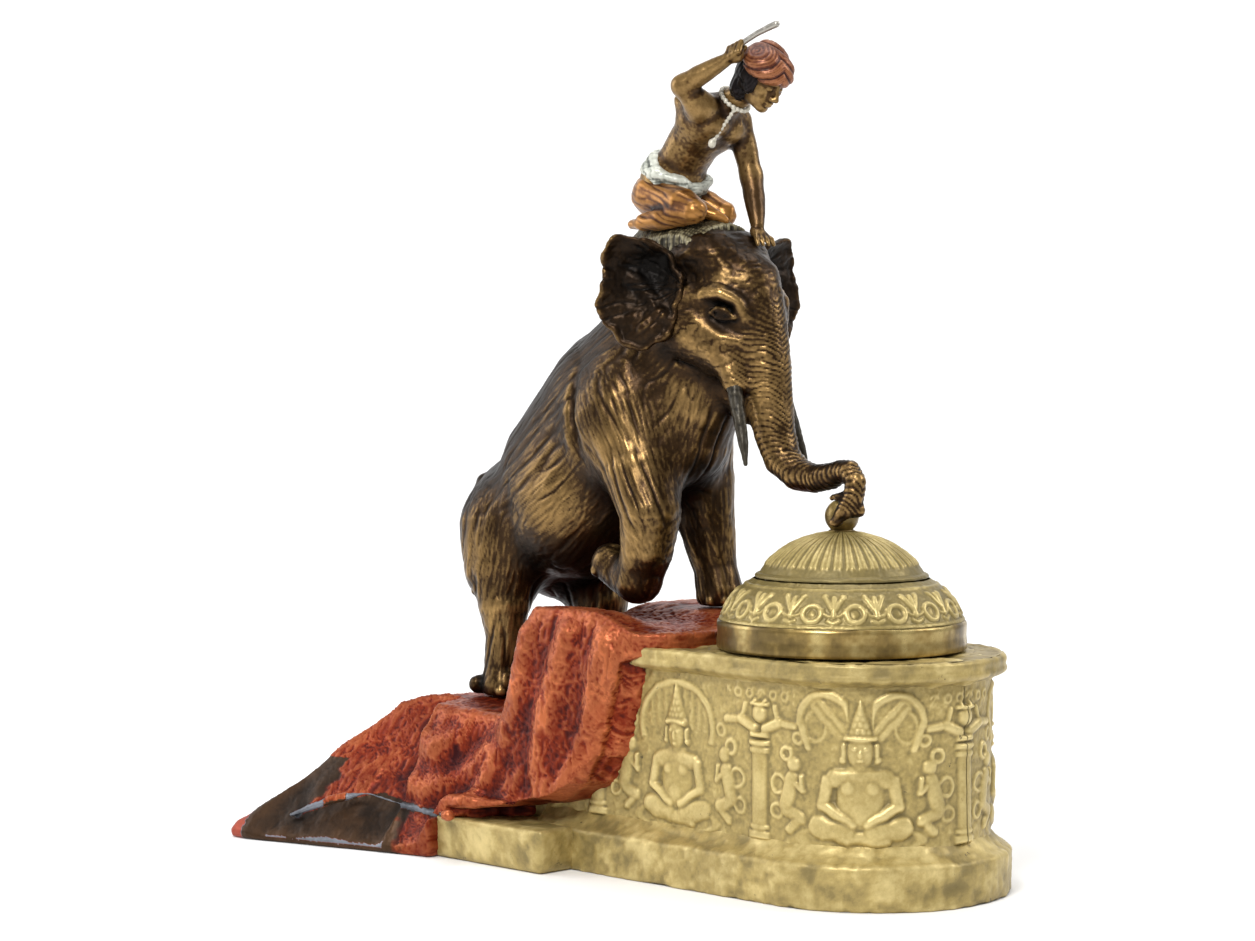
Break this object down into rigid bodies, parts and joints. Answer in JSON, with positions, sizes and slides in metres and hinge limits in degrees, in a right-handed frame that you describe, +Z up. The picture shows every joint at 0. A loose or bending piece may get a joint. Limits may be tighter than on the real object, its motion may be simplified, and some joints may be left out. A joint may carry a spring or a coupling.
{
  "type": "figural money box",
  "caption": "Figural money box: a rearing elephant with a seated driver lifts the domed lid off a round well in a relief plinth as it tips back on a hinge under its hind heels.",
  "frame": {"origin": "on the axis of the round well and lid, in the plane that the plinth rests on", "axes": "+X along the plinth from the rug towards the rounded end, the way the elephant faces; +Y to the elephant's left, the rear side; +Z up"},
  "size_m": [0.2885, 0.1485, 0.2932],
  "materials": {
    "gilt_plinth": "cold-painted old gold over dark metal, worn",
    "lid_gilt": "cold-painted greenish gold, worn",
    "lid_brass": "rubbed brown gold, satin",
    "elephant_bronze": "dark bronze-brown paint with rubbed gold highlights",
    "tusk_grey": "dark grey, satin",
    "red_rug": "orange-red cold paint over dark metal",
    "grey_cloth": "grey-green cold paint",
    "gold_skin": "gold-bronze lacquer, satin",
    "orange_dhoti": "orange-brown lacquer",
    "pale_sash": "pale blue-grey cold paint",
    "pale_beads": "cream cold paint",
    "red_turban": "red-brown cold paint",
    "dark_steel": "dark, slightly rubbed",
    "plain_iron": "dark, unpainted",
    "steel": "zinc grey"
  },
  "bodies": {
    "base": {"plinth_casting": "gilt_plinth", "base_plate": "plain_iron", "base_plate_screws": "steel", "well_cup": "plain_iron", "rug_upper": "red_rug", "rug_lower": "red_rug", "rug_screws": "steel", "hinge_bracket": "elephant_bronze", "bracket_screws": "steel"},
    "elephant_group": {"hinge_axle": "steel", "elephant_torso": "elephant_bronze", "elephant_head": "elephant_bronze", "tusk_right": "tusk_grey", "tusk_left": "tusk_grey", "hind_leg_right": "elephant_bronze", "hind_leg_left": "elephant_bronze", "foreleg_left": "elephant_bronze", "foreleg_right": "elephant_bronze", "leg_dowels": "steel", "tail": "elephant_bronze", "ear_right": "elephant_bronze", "ear_left": "elephant_bronze", "lid_rim": "lid_brass", "lid_dome": "lid_gilt", "lid_knob": "lid_brass", "knob_stud": "steel", "trunk": "elephant_bronze", "head_cloth": "grey_cloth", "rider_legs": "orange_dhoti", "rider_screw": "steel", "sash": "pale_sash", "rider_torso": "gold_skin", "rider_head": "gold_skin", "necklace": "pale_beads", "turban": "red_turban", "goad": "dark_steel", "rider_arm_right": "gold_skin", "rider_arm_left": "gold_skin"}
  },
  "joints": [
    {"name": "elephant_tip", "type": "hinge", "parent": "base", "child": "elephant_group", "pos_m": [-0.157, 0, 0.057], "axis": [0, -1, 0], "range_deg": [0, 35]}
  ]
}
